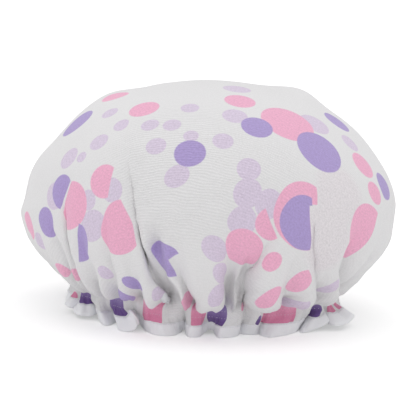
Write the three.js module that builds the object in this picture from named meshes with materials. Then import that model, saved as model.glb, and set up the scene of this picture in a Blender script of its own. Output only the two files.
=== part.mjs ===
// A bouffant shower cap, standing on its ruffle as when it is stuffed full and set down.
// A round of printed cloth and a round of waterproof film lie on each other. Two rows of
// stitches hold an elastic between them, which gathers both. Below the elastic the layers
// go on as a ruffle, and a white binding folds round their raw edge.
import * as THREE from "three";

const degree = Math.PI / 180;

// Sizes in millimetres, +Z up, with the front of the cap towards -Y.
const crownRadius = 140;
const crownTopHeight = 173;
const widestHeight = 75;
const elasticRadius = 96;
const elasticHeight = 17.5;
const elasticWidth = 5;
const elasticThickness = 1;
const stitchClearance = 0.7;
const hemRadius = 98;
const lobeReach = 10.5;
const bindingHeight = 9.2;
const clothWall = 0.5;
const filmWall = 0.5;
const bindingWall = 0.5;
const layerGap = 0.3;

// The crown's outline is a quarter of an ellipse up to its top and another one down to the
// elastic. Each ring's place on them is a share of the quarter turn from the widest ring.
const quarterTurn = 90 * degree;
const riseShares = [0.84, 0.63, 0.42, 0.21, 0];
const tuckShares = [0.3, 0.57, 0.81];

// The filling swells each ring beyond that outline, and it leans to one side, so that one
// shoulder of the crown is full and the other one falls away. Both are shares, ring by ring.
const fullestSwell = 3;
const swellShares = [0.4, 1, 1, 0.5, 0, 0, 0, 0];
const fullestLean = 3.5;
const leanBearing = 100 * degree;
const leanShares = [0.6, 1, 0.6, 0.2, 0, 0, 0, 0];

// The compass bearing of each ruffle lobe, in degrees to the right of the front.
const lobeBearings = [
  -97, -76, -50, -33, -12, 12, 33, 57, 79, 105, 130, 155, 181, 207, 236,
].map((bearing) => bearing * degree);
// How deep the fold above each lobe cuts into the crown, as a share of the deepest fold.
const foldShares = [0.7, 0.6, 1, 0.6, 0.5, 0.9, 0.5, 1, 0.7, 0.5, 0.6, 0.5, 0.7, 0.6, 0.5];
const deepestFold = 10;
const highestFold = 8;
// How much of the deepest fold is left at each ring of the crown, from the top down.
const foldFadeShares = [0, 0.05, 0.12, 0.25, 0.45, 0.7, 0.9, 1];

// A lobe of the hem spreads wider than its neck: half its width, as a share of the pitch.
const neckHalfShare = 0.125;
const hemHalfShare = 0.3;

const fullTurn = 360 * degree;
const lobeCount = lobeBearings.length;
const layersThickness = clothWall + layerGap + filmWall;
const seamRadius = elasticRadius + layersThickness / 2;
const channelRadius = elasticRadius + elasticThickness / 2 + layerGap + clothWall;
const channelHalfHeight = elasticWidth / 2 + layerGap;
const stitchHalfHeight = elasticWidth / 2 + stitchClearance;
const hemEdgeHeight = bindingWall + layerGap;

const bearingOf = (lobe) =>
  lobeBearings[(lobe + lobeCount) % lobeCount] + fullTurn * Math.floor(lobe / lobeCount);
const pitchAfter = (lobe) => bearingOf(lobe + 1) - bearingOf(lobe);
const between = (low, high, share) => low + (high - low) * share;

// A point at a bearing, a radius and a height.
function place(bearing, radius, height) {
  return new THREE.Vector3(radius * Math.sin(bearing), -radius * Math.cos(bearing), height);
}

// A ring of the crown at a turn above the widest ring, or below it where the turn is negative.
// It has one point in the fold over each lobe, which the gathers draw in and up, and one on the
// puff after it.
function crownRing(radius, height, turn, row) {
  const pointAt = (bearing, fold) => {
    const lean = fullestLean * leanShares[row] * Math.cos(bearing - leanBearing);
    const swell = fullestSwell * swellShares[row] + lean;
    return place(
      bearing,
      radius + swell * Math.cos(turn) - deepestFold * fold,
      height + swell * Math.sin(turn) + highestFold * fold,
    );
  };
  const ring = [];
  for (let lobe = 0; lobe < lobeCount; lobe += 1) {
    ring.push(pointAt(bearingOf(lobe), foldFadeShares[row] * foldShares[lobe]));
    ring.push(pointAt(bearingOf(lobe) + pitchAfter(lobe) / 2, 0));
  }
  return ring;
}

// A ring of the gathered edge: each lobe has two corners out and the hollow after it two corners in.
function gatheredRing(radius, reach, halfShare, height) {
  const ring = [];
  for (let lobe = 0; lobe < lobeCount; lobe += 1) {
    const bearing = bearingOf(lobe);
    const hollow = bearing + pitchAfter(lobe) / 2;
    ring.push(place(bearing - pitchAfter(lobe - 1) * halfShare, radius + reach, height));
    ring.push(place(bearing + pitchAfter(lobe) * halfShare, radius + reach, height));
    ring.push(place(hollow - pitchAfter(lobe) * halfShare, radius - reach, height));
    ring.push(place(hollow + pitchAfter(lobe) * halfShare, radius - reach, height));
  }
  return ring;
}

// The rings of the outside face, from the crown down to the hem.
const stitchTop = elasticHeight + stitchHalfHeight;
const stitchBottom = elasticHeight - stitchHalfHeight;
const bindingShare = (stitchBottom - bindingHeight) / (stitchBottom - hemEdgeHeight);
const upperOutline = riseShares.map((share) => quarterTurn * share).map((turn) => [
  crownRadius * Math.cos(turn),
  between(widestHeight, crownTopHeight, Math.sin(turn)),
  turn,
]);
const tuckOutline = tuckShares.map((share) => quarterTurn * share).map((turn) => [
  between(seamRadius, crownRadius, Math.cos(turn)),
  between(widestHeight, stitchTop, Math.sin(turn)),
  -turn,
]);
const crownRings = [...upperOutline, ...tuckOutline].map(([radius, height, turn], row) =>
  crownRing(radius, height, turn, row),
);
const gatheredRings = [
  gatheredRing(seamRadius, 0, neckHalfShare, stitchTop),
  gatheredRing(channelRadius, 0, neckHalfShare, elasticHeight + channelHalfHeight),
  gatheredRing(channelRadius, 0, neckHalfShare, elasticHeight - channelHalfHeight),
  gatheredRing(seamRadius, 0, neckHalfShare, stitchBottom),
  gatheredRing(
    between(seamRadius, hemRadius, bindingShare),
    lobeReach * bindingShare,
    between(neckHalfShare, hemHalfShare, bindingShare),
    bindingHeight,
  ),
  gatheredRing(hemRadius, lobeReach, hemHalfShare, hemEdgeHeight),
];
const rings = [...crownRings, ...gatheredRings];
const crownTop = new THREE.Vector3(0, 0, crownTopHeight);

// The channel rings stand off the film by the elastic and a gap on each side of it.
const stitchRow = crownRings.length;
const isChannel = (row) => row === stitchRow + 1 || row === stitchRow + 2;
const bindingRow = rings.length - 2;
const hemRow = rings.length - 1;

// Triangles between two rings of as many points, seen from outside. Every crease across the
// band runs from an upper point to the next lower one, so that layers crease alike.
function bandTriangles(upperStart, lowerStart, count) {
  const triangles = [];
  for (let i = 0; i < count; i += 1) {
    const next = (i + 1) % count;
    triangles.push([upperStart + i, lowerStart + i, lowerStart + next]);
    triangles.push([upperStart + i, lowerStart + next, upperStart + next]);
  }
  return triangles;
}

// Triangles between a ring and one below it with twice its points.
function fanOutTriangles(upperStart, lowerStart, upperCount) {
  const triangles = [];
  for (let i = 0; i < upperCount; i += 1) {
    const upper = upperStart + i;
    const upperNext = upperStart + ((i + 1) % upperCount);
    const lower = lowerStart + 2 * i;
    const lowerNext = lowerStart + 2 * ((i + 1) % upperCount);
    triangles.push([upper, lower, lower + 1], [upper, lower + 1, lowerNext], [upper, lowerNext, upperNext]);
  }
  return triangles;
}

// The whole skin: point 0 is the crown's top, then the points of each ring in turn.
const ringStarts = [];
let pointCount = 1;
for (const ring of rings) {
  ringStarts.push(pointCount);
  pointCount += ring.length;
}
const skinTriangles = rings[0].map((_, i) => [0, 1 + i, 1 + ((i + 1) % rings[0].length)]);
for (let row = 1; row < rings.length; row += 1) {
  const band = row === stitchRow ? fanOutTriangles : bandTriangles;
  skinTriangles.push(...band(ringStarts[row - 1], ringStarts[row], rings[row - 1].length));
}

// The way out of the skin at each point. The gathered rings go out level, squarely to both
// of their sides, so that layers keep their distance round the lobes' corners.
function outwardWays() {
  const points = [crownTop, ...rings.flat()];
  const ways = points.map(() => new THREE.Vector3());
  const normal = new THREE.Vector3();
  for (const [a, b, c] of skinTriangles) {
    new THREE.Triangle(points[a], points[b], points[c]).getNormal(normal);
    for (const corner of [a, b, c]) ways[corner].add(normal);
  }
  ways.forEach((way) => way.normalize());
  for (let row = stitchRow; row < rings.length; row += 1) {
    const ring = rings[row];
    ring.forEach((point, i) => {
      const levelNormal = (from, to) => new THREE.Vector3(to.y - from.y, from.x - to.x, 0).normalize();
      const before = levelNormal(ring[(i + ring.length - 1) % ring.length], point);
      const after = levelNormal(point, ring[(i + 1) % ring.length]);
      const way = before.clone().add(after).normalize();
      ways[ringStarts[row] + i].copy(way.divideScalar(way.dot(after)));
    });
  }
  return ways;
}
const ways = outwardWays();

// One ring of the skin, moved out by a distance.
function ringAt(row, offset) {
  return rings[row].map((point, i) => point.clone().addScaledVector(ways[ringStarts[row] + i], offset));
}

// The whole skin, moved out by a distance that each row can have for itself.
function skinAt(offsetOfRow) {
  const top = crownTop.clone().addScaledVector(ways[0], offsetOfRow(0));
  return [top, ...rings.flatMap((_, row) => ringAt(row, offsetOfRow(row)))];
}

function geometryOf(points, triangles) {
  const geometry = new THREE.BufferGeometry();
  geometry.setAttribute("position", new THREE.Float32BufferAttribute(points.flatMap((p) => p.toArray()), 3));
  geometry.setIndex(triangles.flat());
  geometry.computeVertexNormals();
  return geometry;
}

// A layer of the cap: its outside face, its inside face turned round, and the cut edge at the hem.
function layer(outerOffset, wall) {
  const outside = skinAt(outerOffset);
  const inside = skinAt((row) => outerOffset(row) - wall);
  const insideTriangles = skinTriangles.map(([a, b, c]) => [a + pointCount, c + pointCount, b + pointCount]);
  const edge = bandTriangles(ringStarts[hemRow], ringStarts[hemRow] + pointCount, rings[hemRow].length);
  return geometryOf([...outside, ...inside], [...skinTriangles, ...insideTriangles, ...edge]);
}

function outerCover() {
  return layer(() => 0, clothWall);
}

function innerLiner() {
  const offset = (row) => -clothWall - layerGap - (isChannel(row) ? elasticThickness + layerGap : 0);
  return layer(offset, filmWall);
}

// The elastic, a flat loop between the two rows of stitches.
function elasticBand() {
  const innerRadius = elasticRadius - elasticThickness / 2;
  const outerRadius = elasticRadius + elasticThickness / 2;
  const bottom = elasticHeight - elasticWidth / 2;
  const top = elasticHeight + elasticWidth / 2;
  const section = [
    [innerRadius, bottom],
    [outerRadius, bottom],
    [outerRadius, top],
    [innerRadius, top],
    [innerRadius, bottom],
  ].map(([radius, height]) => new THREE.Vector2(radius, height));
  return new THREE.LatheGeometry(section, rings[stitchRow].length).rotateX(quarterTurn);
}

// The binding: a strip folded up round the hem, with one leg outside and one leg inside.
// Its legs lie on the cloth's own slope, which goes on past the cloth's edge to the floor.
function hemBinding() {
  const outerFace = layerGap + bindingWall;
  const innerFace = -layersThickness - layerGap;
  const corners = [
    [outerFace, bindingHeight],
    [outerFace, 0],
    [innerFace - bindingWall, 0],
    [innerFace - bindingWall, bindingHeight],
    [innerFace, bindingHeight],
    [innerFace, bindingWall],
    [layerGap, bindingWall],
    [layerGap, bindingHeight],
  ];
  const points = corners.flatMap(([offset, height]) => {
    const share = (bindingHeight - height) / (bindingHeight - hemEdgeHeight);
    const low = ringAt(hemRow, offset);
    return ringAt(bindingRow, offset).map((high, i) => high.lerp(low[i], share));
  });
  const count = rings[hemRow].length;
  const triangles = corners.flatMap((_, corner) => {
    const from = corner * count;
    const to = ((corner + 1) % corners.length) * count;
    const falls = corners[(corner + 1) % corners.length][1] <= corners[corner][1];
    const band = falls ? bandTriangles(from, to, count) : bandTriangles(to, from, count);
    return falls ? band : band.map(([a, b, c]) => [a, c, b]);
  });
  return geometryOf(points, triangles);
}

function piece(name, geometry, color, roughness) {
  const material = new THREE.MeshStandardMaterial({ color, roughness, metalness: 0, side: THREE.DoubleSide });
  const mesh = new THREE.Mesh(geometry, material);
  mesh.name = name;
  return mesh;
}

const cap = new THREE.Group();
cap.add(
  piece("outer_cover", outerCover(), "#e9e4ea", 0.7),
  piece("inner_liner", innerLiner(), "#f2f3f4", 0.35),
  piece("elastic_band", elasticBand(), "#f7f6f2", 0.85),
  piece("hem_binding", hemBinding(), "#e4e3ee", 0.8),
);

// The origin is on the floor, under the middle of the cap.
const box = new THREE.Box3().setFromObject(cap, true);
const middle = box.getCenter(new THREE.Vector3());
cap.position.set(-middle.x, -middle.y, 0);

export default cap;
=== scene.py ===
# %% [markdown]
# # A bouffant shower cap
# The cap is a round of printed cloth and a round of waterproof film, gathered by an elastic a little way
# in from their edge. Here it is stuffed full and stands on its ruffle. Everything is worked out from the
# flat round, because the dots, the weave and the folds all follow from how a flat piece was gathered.

# %% Load the frame
import math

import bmesh
import bpy
import numpy as np
from mathutils import Matrix, Vector, noise
from mathutils.bvhtree import BVHTree


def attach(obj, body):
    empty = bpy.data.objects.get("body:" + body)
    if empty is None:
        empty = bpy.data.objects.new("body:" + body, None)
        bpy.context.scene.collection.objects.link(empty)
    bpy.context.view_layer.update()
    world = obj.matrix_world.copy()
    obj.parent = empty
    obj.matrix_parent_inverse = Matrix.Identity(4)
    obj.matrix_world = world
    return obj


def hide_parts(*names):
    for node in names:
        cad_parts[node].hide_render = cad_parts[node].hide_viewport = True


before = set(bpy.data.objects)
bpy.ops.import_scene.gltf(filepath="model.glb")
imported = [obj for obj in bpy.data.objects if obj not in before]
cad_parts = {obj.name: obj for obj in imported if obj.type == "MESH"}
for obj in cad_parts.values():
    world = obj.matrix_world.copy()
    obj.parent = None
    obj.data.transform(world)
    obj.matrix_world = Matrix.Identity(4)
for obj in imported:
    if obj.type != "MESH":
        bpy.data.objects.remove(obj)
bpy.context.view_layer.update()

MM = 0.001

# %% [markdown]
# ## The camera comes first
# The photograph was taken from the front, a little above the cap. Its camera is set up before anything
# is made, because the folds and the dots are given as places in the photograph, and the line of sight
# through a pixel tells where such a place lies on the cap. The camera is rolled a little, which stands
# for the slight lean of the cap in the photograph. The aim point sits a little above the middle of the
# frame, and a small shift gives that without turning the camera.

# %% Camera of the photograph
photo_side = 416
view_elevation = math.radians(8.5)
view_roll = math.radians(2.5)
view_distance = 1400 * MM
aim_height = 85 * MM
lens_length = 160.4
sensor_width = 36.0
aim_pixel = (208.6, 197.9)

towards_viewer = Vector((0, -math.cos(view_elevation), math.sin(view_elevation)))
camera_data = bpy.data.cameras.new("photo_camera")
camera_data.lens = lens_length
camera_data.sensor_width = sensor_width
camera_data.shift_x = (photo_side / 2 - aim_pixel[0]) / photo_side
camera_data.shift_y = (aim_pixel[1] - photo_side / 2) / photo_side
camera = bpy.data.objects.new("photo_camera", camera_data)
camera.location = Vector((0, 0, aim_height)) + towards_viewer * view_distance
level_turn = (-towards_viewer).to_track_quat("-Z", "Y").to_matrix()
camera_turn = level_turn @ Matrix.Rotation(view_roll, 3, "Z")
camera.rotation_euler = camera_turn.to_euler()
bpy.context.scene.collection.objects.link(camera)
bpy.context.scene.camera = camera


def sight_line(pixel):
    """Start and direction of the line of sight through a pixel of the photograph."""
    across = (pixel[0] - photo_side / 2) / photo_side + camera_data.shift_x
    upwards = (photo_side / 2 - pixel[1]) / photo_side + camera_data.shift_y
    reach = sensor_width / lens_length
    way = camera_turn @ Vector((across * reach, upwards * reach, -1))
    return camera.location.copy(), way.normalized()


print("camera at", tuple(round(c, 3) for c in camera.location))

# %% [markdown]
# ## The form of the filled cap
# A stuffed cap has a low dome above its widest line and a rounder tuck below it, down to the elastic.
# The form is drawn as one line from the crown's middle to the hem, and each point of it is found by how
# much cloth lies between it and the middle. That length is the distance from the middle on the flat
# round, so the same number finds a point on the flat cloth and on the filled cap.

# %% Line from the crown to the hem
crown_radius = 140 * MM
crown_top = 173 * MM
widest_height = 75 * MM
elastic_radius = 96.5 * MM
elastic_height = 17.5 * MM
tuck_height = 21 * MM
cut_radius = 288 * MM
channel_top = 261.5 * MM
channel_middle = 264.5 * MM
channel_foot = 267.5 * MM
hem_flare = 9.5 * MM
hem_lift = 0.9 * MM


def form_line():
    """Columns of cloth length, radius and height along the filled cap, from its middle to the hem."""
    turns = np.radians(np.linspace(90, 0, 61))
    dome = np.column_stack([crown_radius * np.cos(turns), widest_height + (crown_top - widest_height) * np.sin(turns)])
    turns = np.radians(np.linspace(0, 90, 41))[1:]
    tuck = np.column_stack([
        crown_radius - (crown_radius - elastic_radius) * (1 - np.cos(turns)),
        widest_height - (widest_height - tuck_height) * np.sin(turns),
    ])
    line = np.concatenate([dome, tuck, [[elastic_radius, elastic_height]]])
    length = np.concatenate([[0], np.cumsum(np.linalg.norm(np.diff(line, axis=0), axis=1))])
    length *= channel_middle / length[-1]
    line = np.concatenate([line, [[elastic_radius + hem_flare, 0]]])
    return np.column_stack([np.append(length, cut_radius), line])


form = form_line()


def form_at(length):
    """Radius and height of the filled cap at a cloth length from its middle."""
    return np.interp(length, form[:, 0], form[:, 1]), np.interp(length, form[:, 0], form[:, 2])


# A plain spun shape of this line is only measured on, and is never shown.
gauge = bmesh.new()
gauge_points = [gauge.verts.new((0, -r, z)) for _, r, z in form]
gauge_edges = [gauge.edges.new(pair) for pair in zip(gauge_points, gauge_points[1:])]
bmesh.ops.spin(
    gauge, geom=gauge_points + gauge_edges, cent=(0, 0, 0), axis=(0, 0, 1), angle=2 * math.pi, steps=180,
    use_merge=True,
)
gauge_tree = BVHTree.FromBMesh(gauge)
gauge.free()


def place_on_form(pixel):
    """Bearing from the front in degrees, and cloth length in millimetres, of a place in the photograph."""
    start, way = sight_line(pixel)
    hit = gauge_tree.ray_cast(start, way)[0]
    if hit is None:
        return None
    miss = np.hypot(form[:, 1] - math.hypot(hit.x, hit.y), form[:, 2] - hit.z)
    nearest = int(np.argmin(miss))
    return math.degrees(math.atan2(hit.x, -hit.y)), form[nearest, 0] / MM


def place_on_outline(pixel):
    """Bearing in degrees and cloth length in millimetres of the form's place nearest a pixel on its outline."""
    start, way = sight_line(pixel)
    steps = [start + way * (view_distance + offset * MM) for offset in range(-140, 141, 4)]
    near = min((gauge_tree.find_nearest(step) for step in steps), key=lambda found: found[3])[0]
    miss = np.hypot(form[:, 1] - math.hypot(near.x, near.y), form[:, 2] - near.z)
    return math.degrees(math.atan2(near.x, -near.y)), form[int(np.argmin(miss)), 0] / MM


print("cloth from middle to elastic: %.1f mm" % (channel_middle / MM))

# %% [markdown]
# ## Where the folds run
# The flat round is far wider than the form it covers, so the spare cloth goes into folds. Their lines
# were read off the photograph, as pixels from the upper end down to the elastic, and the form tells
# their bearings. Each has a strength, which is its share of the spare cloth, and a lean, which lays the
# tucked cloth to one side. The back isn't seen, so folds of the same kinds are strewn there by a seeded
# generator. Short ones are added wherever two folds leave too wide a gap at the elastic.

# %% Fold lines
# name: (pixels from the upper end down, strength, lean, millimetres that its mouth opens by at the elastic)
front_folds = {
    "left_edge": ([(33, 172), (37, 195), (41.5, 208), (48, 231), (58, 255), (75, 285)], 0.7, 0.3, 3),
    "left_second": ([(80, 150), (73, 176), (60.5, 207), (62, 240), (80, 285)], 0.6, 0.2, 3),
    "left_low": ([(92, 190), (80.5, 225), (80, 247), (80.5, 260), (92, 278), (98, 293)], 0.3, 0.3, 2),
    "left_inner": ([(118, 158), (108, 196), (103, 226), (105, 262), (112, 285), (116, 298)], 0.3, 0.4, 2),
    "long_front": (
        [(129, 106), (131, 127), (127, 160), (127, 210), (130.5, 222), (136, 243), (139, 254), (150, 275),
         (160, 290), (170, 303)],
        2.0, (0.8, -0.6), 12,
    ),
    "puff_left": ([(132, 277), (137, 289), (141, 306)], 0.8, 0.0, 3),
    "pleat_one": ([(158, 283), (163, 296), (170, 309)], 0.6, 0.0, 3),
    "pleat_two": ([(172, 277), (180, 291), (191, 306)], 0.7, 0.2, 3),
    "knot_left": ([(229, 235), (229, 262), (229, 290), (232, 306)], 1.3, -0.6, 6),
    "knot_right": ([(276, 218), (277, 236), (265, 256), (253, 277), (244, 288), (240.5, 306)], 1.3, 0.5, 6),
    "right_middle": ([(289, 285), (286, 297), (283, 308)], 0.6, 0.0, 3),
    "disc_fold": ([(321, 150), (317, 178), (312, 205), (310, 250), (315, 275), (318, 290), (312, 306)], 0.5, 0.7, 2),
    "right_diagonal": ([(381, 190), (378, 209), (357, 240), (349, 256), (343, 275), (326, 301)], 1.2, -0.8, 5),
    "right_edge": ([(391, 205), (384, 245), (362, 275), (345, 298)], 0.6, -0.2, 3),
}

rng = np.random.default_rng(11)
folds = []
for name, (pixels, strength, lean, opening) in front_folds.items():
    places = [place for place in map(place_on_form, pixels) if place is not None]
    places.sort(key=lambda place: place[1])
    folds.append({
        "name": name,
        "bearings": np.array([place[0] for place in places]),
        "lengths": np.array([place[1] for place in places]),
        "strength": strength,
        "leans": lean if isinstance(lean, tuple) else (lean, lean),
        "opening": opening,
        "onset": 130.0 if strength > 1.9 else 90.0 if places[0][1] < 200 else 40.0,
    })

front_edge = 74
back_count = 15
back_step = (360 - 2 * front_edge) / back_count
for step in range(back_count):
    bearing = front_edge + (step + 0.5) * back_step + rng.uniform(-3, 3)
    long_one = step % 3 == 1
    upper = rng.uniform(100, 150) if long_one else rng.uniform(170, 205)
    slant = rng.uniform(-14, 14) if long_one else rng.uniform(-3, 3)
    folds.append({
        "name": "back_%02d" % step,
        "bearings": np.array([bearing + slant, bearing + slant * 0.3, bearing]),
        "lengths": np.array([upper, (upper + 262) / 2, 262]),
        "strength": 1.5 if long_one else rng.uniform(0.8, 1.1),
        "leans": (rng.choice([-0.5, 0.5]),) * 2 if long_one else (rng.uniform(-0.3, 0.3),) * 2,
        "opening": rng.uniform(4, 7) if long_one else rng.uniform(2, 4),
        "onset": 110.0 if long_one else 60.0,
    })

elastic_bearings = sorted(fold["bearings"][-1] % 360 for fold in folds)
widest_gap = 12
short_count = 0
for low, high in zip(elastic_bearings, elastic_bearings[1:] + [elastic_bearings[0] + 360]):
    in_front = abs(((low + high) / 2 + 180) % 360 - 180) < 52
    extra = 0 if in_front else int((high - low) / widest_gap)
    for part in range(1, extra + 1):
        bearing = low + (high - low) * part / (extra + 1)
        bearing = (bearing + 180) % 360 - 180
        folds.append({
            "name": "short_%02d" % short_count,
            "bearings": np.array([bearing + rng.uniform(-2, 2), bearing]),
            "lengths": np.array([rng.uniform(222, 238), 262.0]),
            "strength": rng.uniform(0.5, 0.8),
            "leans": (0.0, 0.0),
            "opening": 2.5,
            "onset": 40.0,
        })
        short_count += 1
print(len(folds), "folds,", short_count, "of them short")

# %% [markdown]
# ## The flat round
# The maker cuts a plain round from the printed cloth, and so does this script. It starts from a small
# circle, and its rim is extruded ring after ring. Where the ring's edges grow too long, they are
# subdivided, so that the little faces stay nearly square all the way out. The flat place of each point
# is kept twice: as a UV map in metres for the print and the weave, and as a point attribute that later
# tells which ring a point belongs to.

# %% Cut the round
first_columns = 20
ring_step = 6.2 * MM
longest_edge = 7.0 * MM
plain_rings = np.arange(ring_step, 253 * MM, ring_step)
gathered_rings = np.array([257, 261.5, 267.5, 271.2, 275, 281.5, 288]) * MM


def grow_rim(cloth, rim, scale):
    """Extrude the rim's edges, scale the new ring outwards, and return its edges."""
    grown = bmesh.ops.extrude_edge_only(cloth, edges=rim)["geom"]
    points = [part for part in grown if isinstance(part, bmesh.types.BMVert)]
    bmesh.ops.scale(cloth, vec=(scale, scale, 1), verts=points)
    new = set(points)
    return [part for part in grown if isinstance(part, bmesh.types.BMEdge) and new.issuperset(part.verts)]


def split_rim(cloth, rim, radius):
    """Halve the rim's edges, move the new points onto the circle, and return the rim's edges."""
    bmesh.ops.subdivide_edges(cloth, edges=rim, cuts=1)
    edges = [edge for edge in cloth.edges if edge.is_boundary]
    for point in {point for edge in edges for point in edge.verts}:
        point.co *= radius / point.co.length
    return edges


def cut_round():
    """The flat round of cloth as a bmesh."""
    cloth = bmesh.new()
    bmesh.ops.create_circle(cloth, cap_ends=True, cap_tris=True, segments=first_columns, radius=ring_step)
    rim = [edge for edge in cloth.edges if edge.is_boundary]
    columns = first_columns
    radius = ring_step
    for wanted in list(plain_rings[1:]) + list(gathered_rings):
        rim = grow_rim(cloth, rim, wanted / radius)
        radius = wanted
        if 2 * math.pi * radius / columns > longest_edge and radius < 200 * MM or wanted == gathered_rings[0]:
            rim = split_rim(cloth, rim, radius)
            columns *= 2
    uneven = [face for face in cloth.faces if len(face.verts) > 4]
    bmesh.ops.triangulate(cloth, faces=uneven)
    bmesh.ops.recalc_face_normals(cloth, faces=cloth.faces)
    if sum(face.normal.z for face in cloth.faces) < 0:
        bmesh.ops.reverse_faces(cloth, faces=cloth.faces)
    return cloth, columns


round_cloth, rim_columns = cut_round()
cover_mesh = bpy.data.meshes.new("printed_cover")
round_cloth.to_mesh(cover_mesh)
round_cloth.free()
flat = np.zeros(len(cover_mesh.vertices) * 3)
cover_mesh.vertices.foreach_get("co", flat)
flat = flat.reshape(-1, 3)
flat_length = np.hypot(flat[:, 0], flat[:, 1])
flat_turn = np.arctan2(flat[:, 0], -flat[:, 1]) % (2 * math.pi)
print(len(cover_mesh.vertices), "points,", len(cover_mesh.polygons), "faces,", rim_columns, "columns at the rim")

# %% [markdown]
# ## Gather the round onto the form
# On each ring the form is shorter than the cloth, and the folds take up the difference: walking round
# the ring, each fold swallows its width of cloth at its own bearing, and the rest lies on the form.
# Near the elastic the cloth is crimped in small waves between the two rows of stitches. Below it, the
# hem is free and stands in open lobes. Between the lobes it turns in, so the ruffle's edge seen from
# above is a row of loops.

# %% Lobes of the ruffle
# The hem in front, lobe by lobe from the left: x and y in the photograph and millimetres of lift. Each
# lobe starts in the hollow on its left.
front_hem = [
    [(75, 303, 5), (70, 303, 6), (64.5, 303, 6), (65, 305, 6), (70, 308.5, 5), (72, 309, 4)],
    [(75, 307, 5), (72.5, 311.5, 3), (76, 314, 3), (81, 316.5, 3), (85, 315.5, 3), (90, 317, 3), (95.5, 315, 3)],
    [(99, 312, 4), (98.5, 318, 2), (101, 323.5, 0), (105.5, 326.5, 0), (110.5, 325.5, 0), (115.5, 322.5, 0)],
    [(119, 320, 0), (117, 326, 0), (118.5, 331, 0), (126, 332, 0), (132.5, 333, 0), (140, 326, 5), (135, 318, 11),
     (129.5, 310.5, 16)],
    [(133, 316, 10), (141, 326, 2), (146, 331.5, 0), (152, 334.5, 0), (160, 336, 0), (168, 336.5, 0),
     (175, 335.5, 0), (181, 332, 0)],
    [(186, 328, 0), (185.5, 333.5, 0), (188.5, 337.5, 0), (194, 338, 0), (199.5, 337, 0), (202.5, 334, 0)],
    [(207, 329.5, 0), (213, 329.5, 0), (215, 334, 0), (218, 338.3, 0), (226, 338.2, 0), (232, 337.6, 0),
     (237.5, 336, 0)],
    [(239.5, 333.5, 0), (244, 334.8, 0), (250, 334.8, 0), (256, 335.2, 0)],
    [(258.5, 334, 0), (260, 335.5, 0), (264, 337, 0), (270, 338, 0), (280, 336.4, 0), (290, 334.4, 0),
     (296.5, 332, 0)],
    [(301, 326, 0), (299, 331.5, 0), (300.5, 334.6, 0), (306, 333, 0), (312, 330.6, 1), (320, 327.4, 3),
     (327, 325.4, 4), (333, 319, 8)],
    [(327, 320, 5), (329, 325.4, 4), (336, 326.6, 4), (345, 325, 4), (350.5, 321.5, 5), (356, 315.5, 8)],
]
last_hollow = (347, 309, 6)
# bearing of the back's first and last hollow in degrees
back_start, back_end = 78, 279
hollow_reach = 87.5


def floor_place(pixel, lift):
    """Bearing in degrees, distance from the axis and height in millimetres of a pixel's place above the floor."""
    start, way = sight_line(pixel)
    place = start + way * ((lift * MM - start.z) / way.z)
    while math.hypot(place.x, place.y) < hollow_reach * MM:
        place -= way * MM
    return math.degrees(math.atan2(place.x, -place.y)), math.hypot(place.x, place.y) / MM, place.z / MM


def back_lobe(start, end, reach, lift):
    """Points of one lobe between the bearings of its two hollows."""
    middle = (start + end) / 2
    half = (end - start) / 2 - rng.uniform(0.6, 1.6)
    lean = rng.uniform(-3.5, 3.5)
    line = [(start, rng.uniform(90, 99), lift * 0.5)]
    for across, back in ((-0.9, 9), (-1.02, 5), (-0.8, 1.5), (-0.3, 0), (0.3, 0), (0.8, 1.5), (1.02, 5), (0.9, 9)):
        line.append((middle + half * across, reach - back + lean * across, lift))
    return line


hem_lobes = [[floor_place((x, y), lift) for x, y, lift in lobe] for lobe in front_hem]
for lobe in hem_lobes:
    print("lobe:", ", ".join("%.0f/%.0f/%.0f" % place for place in lobe))
last_place = floor_place(last_hollow[:2], last_hollow[2])
print("last hollow", last_place)
hem_lobes[-1].append((back_start - 2, 100, 6))
bearing = back_start
while bearing < back_end - 10:
    following = min(bearing + rng.choice([9, 12, 16, 21]) + rng.uniform(-1.5, 1.5), back_end)
    if back_end - following < 9:
        following = back_end
    hem_lobes.append(back_lobe(bearing, following, rng.uniform(104, 111), rng.choice([0, 0, 1.5, 4])))
    bearing = following


def hem_line(neck_bearings):
    """Points of the hem, one for each column of cloth, from the bearings of the columns at the neck."""
    starts = np.array([lobe[0][0] % 360 for lobe in hem_lobes])
    order = np.argsort(starts)
    lines = []
    for lobe, following in zip(hem_lobes, hem_lobes[1:] + hem_lobes[:1]):
        line = lobe + [following[0]]
        points = np.array([(r * math.sin(math.radians(b)), -r * math.cos(math.radians(b)), z) for b, r, z in line])
        steps = np.linalg.norm(np.diff(points, axis=0), axis=1)
        lines.append((np.concatenate([[0], np.cumsum(steps)]) / steps.sum(), points))
    places, shares = [], []
    for neck in np.degrees(neck_bearings) % 360:
        rank = int(np.searchsorted(starts[order], neck, side="right")) - 1
        lobe = order[rank]
        first = starts[order][rank]
        span = (starts[order][(rank + 1) % len(order)] - first) % 360
        share = ((neck - first) % 360) / span
        shares.append(share)
        along, points = lines[lobe]
        places.append([np.interp(share, along, points[:, axis]) for axis in range(3)])
    places = np.array(places)
    for _ in range(2):
        places = 0.5 * places + 0.25 * (np.roll(places, 1, axis=0) + np.roll(places, -1, axis=0))
    walk = np.linalg.norm(places - np.roll(places, 1, axis=0), axis=1).sum()
    print("hem: %.0f mm of line for %.0f mm of cloth, %d lobes" % (walk, 2 * math.pi * cut_radius / MM, len(hem_lobes)))
    return places * MM, np.array(shares)


# %% Fold every ring
fullest_fold = 34 * MM
spare_share = 0.85
upper_share = 0.12
seam_start = -185.0


fullest_swell = 11 * MM
swell_per_width = 0.25


def ease(share):
    """A share from 0 to 1 with a soft start and end."""
    share = np.clip(share, 0, 1)
    return share * share * (3 - 2 * share)


def length_of(length):
    """A length in millimetres."""
    return length / MM


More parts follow.
